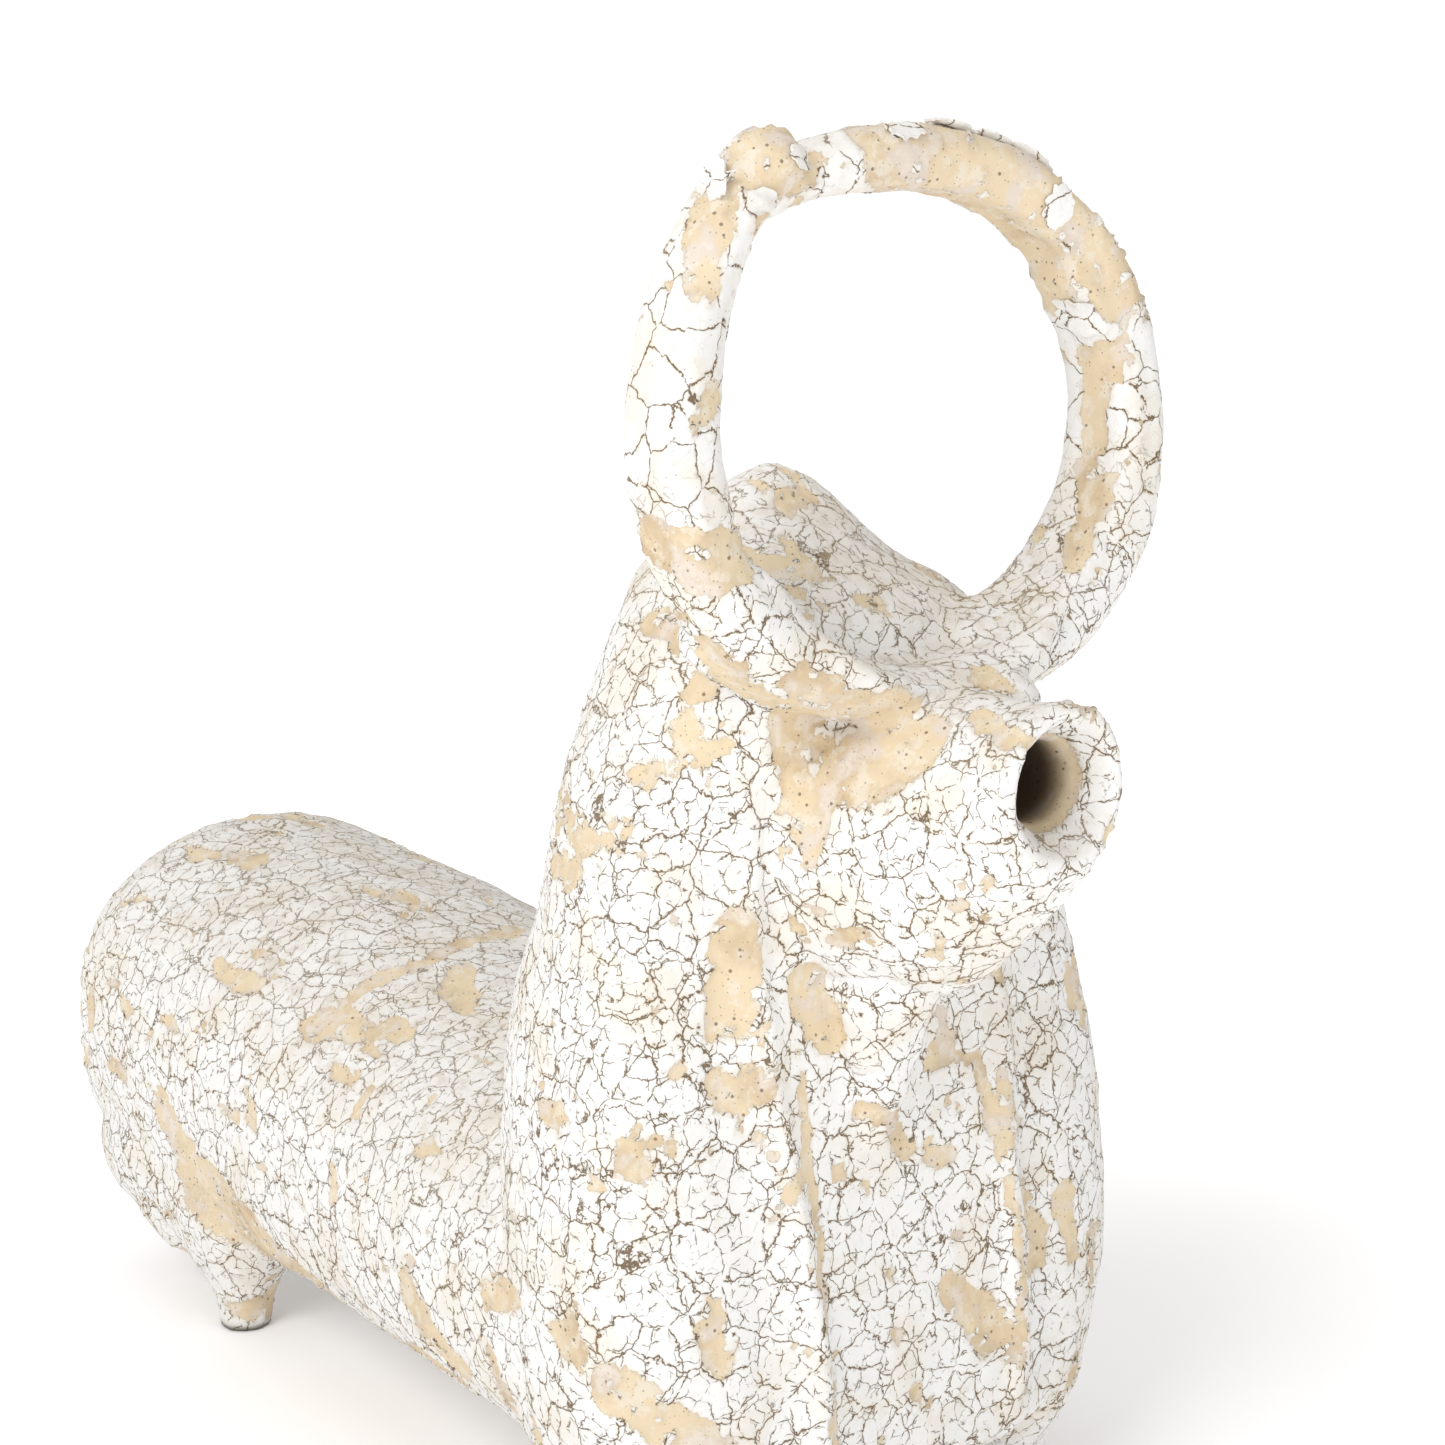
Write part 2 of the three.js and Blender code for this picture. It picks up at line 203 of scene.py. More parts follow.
# ---------------------------------------------------------------- clay skin
def clay_lumps(bm):
    """Clay thumbed in where pieces meet."""
    for side in (-1, 1):
        low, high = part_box("right_hind_leg" if side < 0 else "left_hind_leg")
        mid = (low + high) / 2
        add_ball(bm, (mid.x + side * 1 * MM, mid.y + 18 * MM, 53 * MM), (18 * MM, 48 * MM, 27 * MM), -0.15)
        add_ball(bm, (mid.x - side * 1 * MM, mid.y + 24 * MM, 35 * MM), (15 * MM, 34 * MM, 14 * MM), 0.5)
    for step in range(13):  # the web between the left horn and the neck
        turn = math.radians(-64 + step * 3.5)
        reach = (66 + 1.0 * step) * MM
        behind = (8 - 0.4 * step) * MM
        at = (reach * math.cos(turn), HORN_PLANE + behind, RING_MIDDLE + reach * math.sin(turn))
        add_ball(bm, at, (8 * MM, 13 * MM, 8 * MM))
    for step in range(19):  # extra width inside the left horn
        turn = math.radians(-34 + step * 4)
        at = (77 * MM * math.cos(turn), HORN_PLANE + 3 * MM, RING_MIDDLE + 65 * MM * math.sin(turn))
        add_ball(bm, at, (7 * MM, 11 * MM, 9 * MM))
    root = (17 * MM, FACE_LOW.y + 19 * MM, FACE_HIGH.z - 4 * MM)  # a thumb of clay from horn to snout
    add_ball(bm, root, (10 * MM, 15 * MM, 9 * MM))
    for step in range(4):  # a soft keel under the jaw, where it was luted to the chest
        keel = (-10 * MM, CHEST_LOW.y + (6 + 2.2 * step) * MM, JAW_LOW.z + (2 - 11 * step) * MM)
        add_ball(bm, keel, ((17 - 3 * step) * MM, (13 - 1.5 * step) * MM, 14 * MM))
    tip = (RIGHT_HIGH.x - 10 * MM, RIGHT_LOW.y + 14 * MM, RIGHT_HIGH.z - 10 * MM)
    add_ball(bm, tip, (10.5 * MM, 11 * MM, 9.5 * MM))


def cross_cylinder(bm, start, end, height, radius):
    """A closed cylinder along Y."""
    place = Matrix.Translation((0, (start + end) / 2, height)) @ Matrix.Rotation(math.pi / 2, 4, "X")
    bmesh.ops.create_cone(bm, cap_ends=True, segments=28, radius1=radius, radius2=radius,
                          depth=end - start, matrix=place)


def frame_copy(plugged):
    """Every piece of the frame, swollen a little so that they meet."""
    bm = bmesh.new()
    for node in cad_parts.values():
        bm.from_mesh(node.data)
    bmesh.ops.remove_doubles(bm, verts=bm.verts, dist=1e-6)
    bm.normal_update()
    for vert in bm.verts:
        vert.co += vert.normal * SWELL
    if plugged:
        start = MUZZLE_LOW.y + BORE_PLUG
        cross_cylinder(bm, start, start + BORE_PLUG_LENGTH, MUZZLE_AXIS, BORE_RADIUS + 1 * MM)
        vent = (RUMP_LOW.z + RUMP_HIGH.z) / 2
        cross_cylinder(bm, RUMP_HIGH.y - 13 * MM, RUMP_HIGH.y - 6 * MM, vent, VENT_PLUG_RADIUS)
    return bm


def remeshed(piece, size):
    step = piece.modifiers.new("clay", "REMESH")
    step.mode = "VOXEL"
    step.voxel_size = size
    return apply_modifiers(piece)


def outside_skin():
    bm = frame_copy(True)
    clay_lumps(bm)
    skin = remeshed(new_object("clay_skin", bm), VOXEL)
    smooth = skin.modifiers.new("rounding", "SMOOTH")
    smooth.factor = 0.5
    smooth.iterations = SKIN_ROUNDING
    return apply_modifiers(skin)


def inside_hollow():
    """The air inside: what a plugged copy holds and an open one doesn't."""
    whole = remeshed(new_object("whole", frame_copy(True)), HOLLOW_VOXEL)
    shell = remeshed(new_object("shell", frame_copy(False)), HOLLOW_VOXEL)
    combine(whole, shell, "DIFFERENCE")
    discard(shell)
    return whole


# ---------------------------------------------------------------- bare clay
# Where the slip has come away: each stroke runs between places given as shares of a piece's box
# (across, along, up), with its half width in millimetres.
STROKES = [
    ("left_horn", [(0.31, 0.4, 0.94), (0.44, 0.25, 0.96), (0.65, 0.25, 0.90), (0.80, 0.25, 0.79),
                   (0.88, 0.3, 0.68)], 11),
    ("left_horn", [(0.40, 0.50, 0.87), (0.62, 0.55, 0.82), (0.79, 0.6, 0.71)], 12),
    ("left_horn", [(0.88, 0.3, 0.64), (0.87, 0.3, 0.52)], 5),
    ("left_horn", [(0.86, 0.45, 0.54), (0.86, 0.4, 0.30)], 5),
    ("left_horn", [(0.85, 0.3, 0.26), (0.75, 0.2, 0.12)], 5),
    ("right_horn", [(0.95, 0.3, 0.95), (0.60, 0.2, 0.95)], 13),
    ("right_horn", [(0.38, 0.4, 0.86), (0.26, 0.3, 0.70)], 6),
    ("right_horn", [(0.05, 0.5, 0.23), (0.20, 0.16, 0.18), (0.38, 0.05, 0.19)], 8),
    ("brow_band", [(0.02, 0.4, 0.55), (0.12, 0.5, 0.25), (0.25, 0.3, 0.15), (0.42, 0.1, 0.10)], 7),
    ("brow_band", [(0.14, 0.15, 0.45), (0.26, 0.05, 0.22), (0.40, 0.03, 0.12)], 5),
    ("brow_band", [(0.98, 0.4, 0.55), (0.88, 0.5, 0.25), (0.75, 0.3, 0.15)], 5),
    ("face_block", [(0.12, 0.6, 0.85), (0.16, 0.4, 0.66), (0.26, 0.2, 0.80)], 9),
    ("face_block", [(0.10, 0.7, 0.55), (0.10, 0.75, 0.15)], 6),
    ("chest_panel", [(0.04, 0.34, 0.98), (0.08, 0.33, 0.86)], 9),
    ("muzzle_tube", [(0.30, 0.9, 0.95), (0.20, 0.5, 0.92), (0.25, 0.1, 0.86)], 4),
    ("muzzle_tube", [(0.10, 0.4, 0.35), (0.30, 0.5, 0.08)], 4),
    ("jaw_wedge", [(0.80, 0.25, 0.55), (0.66, 0.35, 0.05)], 3.5),
    ("forequarters_shell", [(0.23, 0.10, 0.74), (0.21, 0.09, 0.65)], 6),
    ("chest_panel", [(0.05, 0.32, 0.68), (0.14, 0.28, 0.61)], 6),
    ("chest_panel", [(0.30, 0.19, 0.52), (0.48, 0.15, 0.45), (0.70, 0.14, 0.43)], 3.5),
    ("chest_panel", [(0.88, 0.22, 0.54), (0.95, 0.15, 0.42)], 3),
    ("chest_panel", [(0.68, 0.04, 0.27), (0.88, 0.02, 0.20)], 6),
    ("forequarters_shell", [(0.73, 0.03, 0.37), (0.73, 0.02, 0.32)], 3.5),
    ("forequarters_shell", [(0.82, 0.04, 0.34), (0.83, 0.03, 0.26)], 4),
    ("forequarters_shell", [(0.90, 0.6, 0.5), (0.97, 0.4, 0.3)], 5),
    ("hind_barrel", [(0.02, 0.62, 0.42), (0.05, 0.48, 0.26)], 7),
    ("hind_barrel", [(0.05, 0.52, 0.27), (0.08, 0.27, 0.15), (0.12, 0.0, 0.06)], 16),
    ("forequarters_shell", [(0.12, 0.97, 0.05), (0.08, 0.72, 0.09), (0.10, 0.5, 0.06)], 8),
    ("hind_barrel", [(0.97, 0.7, 0.5), (0.95, 0.3, 0.25)], 7),
    ("hind_barrel", [(0.18, 0.2, 0.79), (0.37, 0.18, 0.88), (0.61, 0.22, 0.89)], 4),
    ("hind_barrel", [(0.12, 0.42, 0.79), (0.13, 0.55, 0.77)], 4.5),
    ("hind_barrel", [(0.19, 0.02, 0.79), (0.20, 0.08, 0.74)], 6),
    ("forequarters_shell", [(0.05, 0.69, 0.21), (0.06, 0.57, 0.14)], 7),
    ("forequarters_shell", [(0.03, 0.11, 0.25), (0.12, 0.05, 0.18)], 7),
    ("forequarters_shell", [(0.16, 0.985, 0.44), (0.07, 0.975, 0.27)], 2.2),
    ("chest_panel", [(0.02, 0.3, 0.86), (0.0, 0.2, 0.52), (0.03, 0.08, 0.2), (0.02, 0.05, 0.08)], 2.2),
    ("chest_panel", [(0.98, 0.2, 0.60), (1.0, 0.1, 0.40), (0.97, 0.05, 0.16)], 2.2),
    ("chest_panel", [(0.22, 0.3, 0.66), (0.27, 0.2, 0.52)], 2),
    ("rump_cap", [(0.3, 0.9, 0.7), (0.55, 0.95, 0.5)], 7),
    ("rump_cap", [(0.04, 0.3, 0.75), (0.02, 0.3, 0.45)], 4),
    ("withers_cap", [(0.55, 0.98, 0.5), (0.75, 0.8, 0.35)], 6),
]


def place_in(node, share):
    """The point at these shares of a piece's box."""
    low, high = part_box(node)
    return np.array([low[i] + (high[i] - low[i]) * share[i] for i in range(3)])


def stroke_depth(points, node, shares, half_width):
    """1 in the middle of a stroke, falling to 0 at twice its half width."""
    nearest = np.full(len(points), 1e9)
    stops = [place_in(node, share) for share in shares]
    for start, end in zip(stops, stops[1:]):
        run = end - start
        t = np.clip((points - start) @ run / (run @ run), 0, 1)
        nearest = np.minimum(nearest, np.linalg.norm(points - start - t[:, None] * run, axis=1))
    return np.clip(1 - nearest / (2 * half_width * MM), 0, 1)


def bare_clay(points):
    """0 under whole slip to 1 on bare clay. 0.5 is the slip's edge."""
    warp = np.stack([clouds(points, 14 * MM, seed, 3) for seed in (11, 23, 37)], 1) * 4 * MM
    moved = points + warp
    deepest = np.zeros(len(points))
    for node, shares, half_width in STROKES:
        deepest = np.maximum(deepest, stroke_depth(moved, node, shares, half_width))
    scuffs = clouds(points, 26 * MM, 51, 4, (0.8, 1.7, 0.9))
    chips = clouds(points, 9 * MM, 71, 3)
    loose = np.maximum(ramp(scuffs, 0.24, 0.46), 0.9 * ramp(chips + 0.45 * scuffs, 0.44, 0.64))
    left_over = clouds(points, 6 * MM, 91, 3)
    worn = np.maximum(ramp(deepest, 0.38, 0.62), loose)
    return np.clip(worn - 0.75 * ramp(left_over, 0.30, 0.42), 0, 1)


# ---------------------------------------------------------------- modelling by hand
def gauss(value, width):
    return np.exp(-(value / width) ** 2)


def chest_modelling(points, normals):
    """Two ridges down the chest, with the slab between them slightly dished."""
    x, z = np.abs(points[:, 0]), points[:, 2]
    front = ramp(-normals[:, 1], 0.2, 0.6) * ramp(z, 25 * MM, 60 * MM) * (1 - ramp(z, 205 * MM, 240 * MM))
    front *= 1 - ramp(-points[:, 1], -CHEST_LOW.y + 4 * MM, -CHEST_LOW.y + 10 * MM)
    wander = 3.4 * MM * clouds(points * np.array([0, 0, 1]), 34 * MM, 5, 2)
    right = points[:, 0] < 0
    lean = 12 * MM * ramp(z, 50 * MM, 200 * MM) * right  # the right ridge leans outwards as it rises
    edge = x - CHEST_HIGH.x - wander - lean
    ridge = 3.6 * MM * gauss(edge, 4.2 * MM) - (4.6 - 3 * right) * MM * gauss(edge - 14 * MM, 9 * MM)
    dish = -2.2 * MM * np.clip(1 - (x / CHEST_HIGH.x) ** 2, 0, 1)
    return front * (ridge + dish)


def brow_modelling(points, normals):
    """A bead of clay along the brow's upper edge, with the forehead dished behind it."""
    x, y, z = points.T
    near = (np.abs(x) < 64 * MM) * ramp(y, BROW_LOW.y - 6 * MM, BROW_LOW.y)
    near = near * (1 - ramp(y, HORN_PLANE + 4 * MM, HORN_PLANE + 14 * MM))
    near = near * ramp(z, BROW_LOW.z, BROW_LOW.z + 5 * MM)
    near = near * (1 - ramp(z, RING_MIDDLE - 40 * MM, RING_MIDDLE - 30 * MM))
    above = z - BROW_LOW.z - 7 * MM - 9.4 * x * x
    facing = ramp(np.maximum(normals[:, 2], -normals[:, 1]), 0.2, 0.6)
    return near * facing * (2.8 * MM * gauss(above, 3 * MM) - 2 * MM * gauss(above - 11 * MM, 6 * MM))


def horn_modelling(points):
    """Sharper front edges and a hollowed inner face on both horns."""
    x, y, z = points[:, 0], points[:, 1], points[:, 2] - RING_MIDDLE
    wide = (LEFT_HIGH.x - RIGHT_LOW.x) / 2 - HORN_HALF
    high = (LEFT_HIGH.z - BROW_LOW.z) / 2 - HORN_HALF
    reach = np.hypot(x, z)
    outwards = reach * (1 - 1 / np.maximum(np.hypot(x / wide, z / high), 0.05))
    behind = y - LEFT_LOW.y - 12 * MM - (points[:, 2] - BROW_LOW.z) * HORN_LEAN
    near = ramp(z, -50 * MM, -30 * MM) * (np.abs(outwards) < 18 * MM) * (np.abs(behind) < 24 * MM)
    inner_edge = gauss(np.hypot(outwards + 8 * MM, behind + 11 * MM), 4 * MM)
    outer_edge = gauss(np.hypot(outwards - 8 * MM, behind + 11 * MM), 4 * MM)
    inner_face = gauss(behind - 1 * MM, 7 * MM) * (1 - ramp(outwards, -7 * MM, -2 * MM))
    front_face = gauss(outwards, 4 * MM) * (1 - ramp(behind, -11 * MM, -6 * MM))
    return near * MM * (2.0 * inner_edge + 1.1 * outer_edge - 1.7 * inner_face - 0.9 * front_face)


def jaw_modelling(points):
    """The left side of the jaw, pressed in under the snout."""
    pressed = place_in("jaw_wedge", (0.84, 0.14, 0.70))
    away = (points - pressed) / np.array([17 * MM, 19 * MM, 22 * MM])
    return -11 * MM * gauss(np.linalg.norm(away, axis=1), 1.0)


def withers_modelling(points):
    """The left slope of the withers, pressed flatter than the right one."""
    away = (points - place_in("withers_cap", (0.73, 0.40, 0.56))) / np.array([20 * MM, 45 * MM, 20 * MM])
    return -4 * MM * gauss(np.linalg.norm(away, axis=1), 1.0)


def chip(points):
    """The pit knocked out of the rump's edge."""
    away = (points - place_in("hind_barrel", (0.03, 0.97, 0.57))) / np.array([9 * MM, 4 * MM, 8 * MM])
    return gauss(np.linalg.norm(away, axis=1), 1.0)


def hand_marks(points):
    """Slow undulation, finger pats and fine texture over the whole body."""
    slow = 1.1 * MM * clouds(points, 36 * MM, 3, 2)
    pats = 0.45 * MM * clouds(points, 11 * MM, 7, 2)
    drags = 0.3 * MM * clouds(points, 5 * MM, 9, 2, (0.8, 3, 1.2))
    return slow + pats + drags


def sculpt(skin):
    mesh = skin.data
    points, normals = points_of(mesh), normals_of(mesh)
    bare = bare_clay(points)
    from_axis = np.hypot(points[:, 0], points[:, 2] - MUZZLE_AXIS)
    depth = points[:, 1] - MUZZLE_LOW.y
    in_bore = (from_axis < BORE_RADIUS + 2.5 * MM) * (points[:, 1] < CHEST_HIGH.y)
    bare = np.maximum(bare, in_bore * ramp(depth, 4 * MM, 12 * MM))
    shown = ramp(bare, 0.4, 0.6)
    curl = gauss(bare - 0.28, 0.14) * (bare > 0.02)
    pit = chip(points)
    bare = np.maximum(bare, ramp(pit, 0.15, 0.3))
    lift = hand_marks(points) + chest_modelling(points, normals) + brow_modelling(points, normals)
    lift += horn_modelling(points) + jaw_modelling(points) + withers_modelling(points) - 5 * MM * pit
    lift += SLIP_THICK * (0.5 - shown) + SLIP_CURL * curl
    lift *= ramp(points[:, 2], 0.0, 6 * MM)  # the feet stay on the floor
    paint(mesh, "bare", bare)
    # Up-facing surfaces: this mask darkens the slip there, partly as dust and partly as painted shade on
    # the tops.
    streaks = 0.75 + 0.6 * clouds(points, 9 * MM, 131, 3, (0.5, 4, 0.8))
    paint(mesh, "lying", ramp(normals[:, 2], 0.15, 0.9) * np.clip(streaks, 0, 1))
    horn = ramp(points[:, 2], RING_MIDDLE - 40 * MM, RING_MIDDLE) * (points[:, 1] < HORN_PLANE + 22 * MM)
    paint(mesh, "wide_cells", horn)
    # The lowest millimetres of the feet: their dark unglazed rim, darkened further as painted contact
    # shadow.
    foot = 1 - ramp(points[:, 2], 0.5 * MM, 3.5 * MM)
    paint(mesh, "foot_rim_and_shade", foot)
    # Painted shade: darker with depth inside the bore, and in the chipped pit.
    paint(mesh, "recess_shade", np.maximum(in_bore * ramp(depth, 9 * MM, 21 * MM), ramp(pit, 0.5, 0.9)))
    points += normals * lift[:, None]
    points[:, 2] = np.maximum(points[:, 2], 0)
    set_points(mesh, points)


# ---------------------------------------------------------------- materials
def wire(tree, socket, value):
    if isinstance(value, bpy.types.NodeSocket):
        tree.links.new(value, socket)
    else:
        socket.default_value = value


def add_node(tree, kind, inputs, **settings):
    node = tree.nodes.new(kind)
    for name, value in settings.items():
        setattr(node, name, value)
    for name, value in inputs.items():
        wire(tree, node.inputs[name], value)
    return node


def calc(tree, operation, first, second=0.0, third=0.0):
    inputs = {0: first, 1: second, 2: third}
    return add_node(tree, "ShaderNodeMath", inputs, operation=operation).outputs[0]


def vector_calc(tree, operation, inputs, output="Vector"):
    return add_node(tree, "ShaderNodeVectorMath", inputs, operation=operation).outputs[output]


def between(tree, value, start, end):
    """0 below start to 1 above end, eased."""
    inputs = {"Value": value, "From Min": start, "From Max": end}
    return add_node(tree, "ShaderNodeMapRange", inputs, interpolation_type="SMOOTHSTEP").outputs[0]


def blend(tree, factor, first, second):
    node = add_node(tree, "ShaderNodeMix", {0: factor}, data_type="RGBA")
    wire(tree, node.inputs[6], first)
    wire(tree, node.inputs[7], second)
    return node.outputs[2]


def noise(tree, place, scale, detail=2.0, rough=0.5):
    inputs = {"Vector": place, "Scale": scale, "Detail": detail, "Roughness": rough}
    return add_node(tree, "ShaderNodeTexNoise", inputs).outputs[0]


def new_group(name, inputs, outputs):
    tree = bpy.data.node_groups.new(name, "ShaderNodeTree")
    for socket, kind in inputs:
        tree.interface.new_socket(socket, in_out="INPUT", socket_type=kind)
    for socket, kind in outputs:
        tree.interface.new_socket(socket, in_out="OUTPUT", socket_type=kind)
    return tree, tree.nodes.new("NodeGroupInput").outputs, tree.nodes.new("NodeGroupOutput").inputs


def use_group(tree, group, inputs):
    return add_node(tree, "ShaderNodeGroup", inputs, node_tree=group).outputs


def warped(tree, place, scale, reach):
    """The place moved about by noise, up to about half of reach each way."""
    inputs = {"Vector": place, "Scale": scale, "Detail": 3.0, "Roughness": 0.6}
    colour = add_node(tree, "ShaderNodeTexNoise", inputs).outputs[1]
    centred = vector_calc(tree, "SUBTRACT", {0: colour, 1: (0.5, 0.5, 0.5)})
    offset = vector_calc(tree, "SCALE", {0: centred, "Scale": reach})
    return vector_calc(tree, "ADD", {0: place, 1: offset})


def crack_group():
    """A broken net of cracks. Line is the crack itself and Rim the worn edge along it."""
    tree, given, made = new_group(
        "cracks",
        [("Place", "NodeSocketVector"), ("Scale", "NodeSocketFloat"), ("Width", "NodeSocketFloat"),
         ("Broken", "NodeSocketFloat")],
        [("Line", "NodeSocketFloat"), ("Rim", "NodeSocketFloat")],
    )
    place = warped(tree, given["Place"], 260.0, 0.0037)
    net = add_node(tree, "ShaderNodeTexVoronoi", {"Vector": place, "Scale": given["Scale"]},
                   feature="DISTANCE_TO_EDGE").outputs["Distance"]
    swing = noise(tree, given["Place"], 330.0, 2.0)
    whole = between(tree, swing, given["Broken"], calc(tree, "ADD", given["Broken"], 0.16))
    share = calc(tree, "ADD", calc(tree, "MULTIPLY", whole, 1.1), 0.02)
    width = calc(tree, "MULTIPLY", given["Width"], share)
    line = calc(tree, "SUBTRACT", 1.0, between(tree, net, calc(tree, "MULTIPLY", width, 0.35), width))
    rim = calc(tree, "SUBTRACT", 1.0, between(tree, net, 0.0, calc(tree, "MULTIPLY", width, 4.0)))
    wire(tree, made["Line"], calc(tree, "MULTIPLY", line, whole))
    wire(tree, made["Rim"], calc(tree, "MULTIPLY", calc(tree, "POWER", rim, 2.0), whole))
    return tree


def speck_group():
    """Round grains of grog, each a little different in size."""
    tree, given, made = new_group(
        "grog",
        [("Place", "NodeSocketVector"), ("Scale", "NodeSocketFloat"), ("Size", "NodeSocketFloat")],
        [("Grains", "NodeSocketFloat")],
    )
    cells = add_node(tree, "ShaderNodeTexVoronoi", {"Vector": given["Place"], "Scale": given["Scale"]})
    pick = add_node(tree, "ShaderNodeSeparateColor", {0: cells.outputs["Color"]}).outputs[0]
    chosen = between(tree, pick, 0.45, 1.0)
    radius = calc(tree, "MAXIMUM", calc(tree, "MULTIPLY", chosen, given["Size"]), 0.001)
    outside = between(tree, cells.outputs["Distance"], calc(tree, "MULTIPLY", radius, 0.6), radius)
    wire(tree, made["Grains"], calc(tree, "SUBTRACT", 1.0, outside))
    return tree


WHITE_SLIP = (0.84, 0.835, 0.82, 1)
WARM_SLIP = (0.77, 0.72, 0.63, 1)
# Grey-tan of up-facing slip: partly dust, partly painted shade.
DUST_AND_TOP_SHADE = (0.66, 0.595, 0.52, 1)
LIGHT_CLAY = (0.73, 0.605, 0.42, 1)
DEEP_CLAY = (0.52, 0.39, 0.24, 1)
PALE_CLAY = (0.70, 0.615, 0.53, 1)
CRACK_BROWN = (0.16, 0.105, 0.05, 1)
CRACK_TAN = (0.58, 0.46, 0.30, 1)
GROG_DARK = (0.17, 0.11, 0.07, 1)
# Near-black foot rim: dark unglazed clay and painted contact shadow.
FOOT_RIM_AND_SHADOW = (0.10, 0.085, 0.055, 1)
# Painted shade for the bore, the chipped pit and the hollow's inner faces.
PAINTED_RECESS_SHADE = (0.07, 0.042, 0.02, 1)


def body_material(name, cracks, grog):
    """Crackled slip over clay. The clay shows where the vertex value bare is high."""
    material = bpy.data.materials.new(name)
    material.use_nodes = True
    tree = material.node_tree
    shader = tree.nodes["Principled BSDF"]
    place = tree.nodes.new("ShaderNodeTexCoord").outputs["Object"]

    def value_of(layer):
        return add_node(tree, "ShaderNodeAttribute", {}, attribute_name=layer).outputs["Fac"]

    bare, lying = value_of("bare"), value_of("lying")
    wide_cells, foot_rim_and_shade, recess_shade = value_of("wide_cells"), value_of("foot_rim_and_shade"), value_of("recess_shade")
    mottle = noise(tree, place, 45.0, 4.0, 0.6)
    grain = noise(tree, place, 700.0, 3.0, 0.65)
    lumps = noise(tree, place, 210.0, 4.0, 0.65)
    ragged = calc(tree, "ADD", bare, calc(tree, "MULTIPLY", calc(tree, "SUBTRACT", grain, 0.5), 1.1))
    ragged = calc(tree, "ADD", ragged, calc(tree, "MULTIPLY", calc(tree, "SUBTRACT", lumps, 0.5), 1.5))
    shown = between(tree, ragged, 0.44, 0.56)
    near_edge = between(tree, bare, 0.02, 0.45)

    fine = use_group(tree, cracks, {"Place": place, "Scale": 172.0, "Width": 0.020, "Broken": 0.38})
    hair = use_group(tree, cracks, {"Place": place, "Scale": 430.0, "Width": 0.04, "Broken": 0.55})
    wide = use_group(tree, cracks, {"Place": place, "Scale": 78.0, "Width": 0.015, "Broken": 0.30})
    not_wide = calc(tree, "SUBTRACT", 1.0, calc(tree, "MULTIPLY", wide_cells, 0.92))
    hair_share = calc(tree, "ADD", calc(tree, "MULTIPLY", not_wide, 0.75), 0.1)
    hair_line = calc(tree, "MULTIPLY", hair["Line"], hair_share)
    fine_line = calc(tree, "MULTIPLY", fine["Line"], not_wide)
    line = calc(tree, "MAXIMUM", calc(tree, "MAXIMUM", fine_line, wide["Line"]), hair_line)
    rim = calc(tree, "MAXIMUM", calc(tree, "MULTIPLY", fine["Rim"], not_wide), wide["Rim"])

    worn = calc(tree, "MAXIMUM", calc(tree, "MULTIPLY", between(tree, mottle, 0.44, 0.66), 0.7),
                calc(tree, "MULTIPLY", near_edge, 0.75))
    slip = blend(tree, worn, WHITE_SLIP, WARM_SLIP)
    # Up-facing slip darkened towards grey-tan: partly dust, partly painted shade.
    dust_shade_mix = calc(tree, "MULTIPLY", lying, between(tree, noise(tree, place, 120.0, 4.0, 0.7), 0.42, 0.62))
    dust_shade_mix = calc(tree, "MAXIMUM", dust_shade_mix, calc(tree, "MULTIPLY", lying, 0.35))
    slip = blend(tree, calc(tree, "MULTIPLY", dust_shade_mix, 0.85), slip, DUST_AND_TOP_SHADE)
    specks = use_group(tree, grog, {"Place": place, "Scale": 620.0, "Size": 0.2})["Grains"]
    speck_share = calc(tree, "ADD", calc(tree, "MULTIPLY", worn, 0.6), 0.35)
    slip = blend(tree, calc(tree, "MULTIPLY", specks, speck_share), slip, GROG_DARK)
    rim_share = calc(tree, "ADD", calc(tree, "MULTIPLY", worn, 0.7), 0.3)
    slip = blend(tree, calc(tree, "MULTIPLY", rim, rim_share), slip, CRACK_TAN)
    # Crack lines show less dark on up-facing surfaces, with the same dust and painted shade.
    dark = calc(tree, "SUBTRACT", 0.95, calc(tree, "MULTIPLY", lying, 0.4))
    slip = blend(tree, calc(tree, "MULTIPLY", line, dark), slip, CRACK_BROWN)

    clay = blend(tree, between(tree, mottle, 0.42, 0.72), LIGHT_CLAY, DEEP_CLAY)
    clay = blend(tree, between(tree, noise(tree, place, 90.0, 2.0), 0.52, 0.66), clay, PALE_CLAY)
    film = between(tree, noise(tree, place, 150.0, 5.0, 0.7), 0.50, 0.60)
    clay = blend(tree, calc(tree, "MULTIPLY", film, 0.55), clay, WARM_SLIP)
    grains = use_group(tree, grog, {"Place": place, "Scale": 430.0, "Size": 0.30})["Grains"]
    dust = use_group(tree, grog, {"Place": place, "Scale": 900.0, "Size": 0.30})["Grains"]
    grains = calc(tree, "MAXIMUM", grains, calc(tree, "MULTIPLY", dust, 0.7))
    grime = calc(tree, "MULTIPLY", between(tree, mottle, 0.5, 0.7), between(tree, grain, 0.5, 0.62))
    clay = blend(tree, calc(tree, "MULTIPLY", grime, 0.45), clay, CRACK_TAN)
    clay = blend(tree, calc(tree, "MULTIPLY", grains, 0.8), clay, GROG_DARK)

    colour = blend(tree, shown, slip, clay)
    # Dark foot rim with painted contact shadow.
    colour = blend(tree, foot_rim_and_shade, colour, FOOT_RIM_AND_SHADOW)
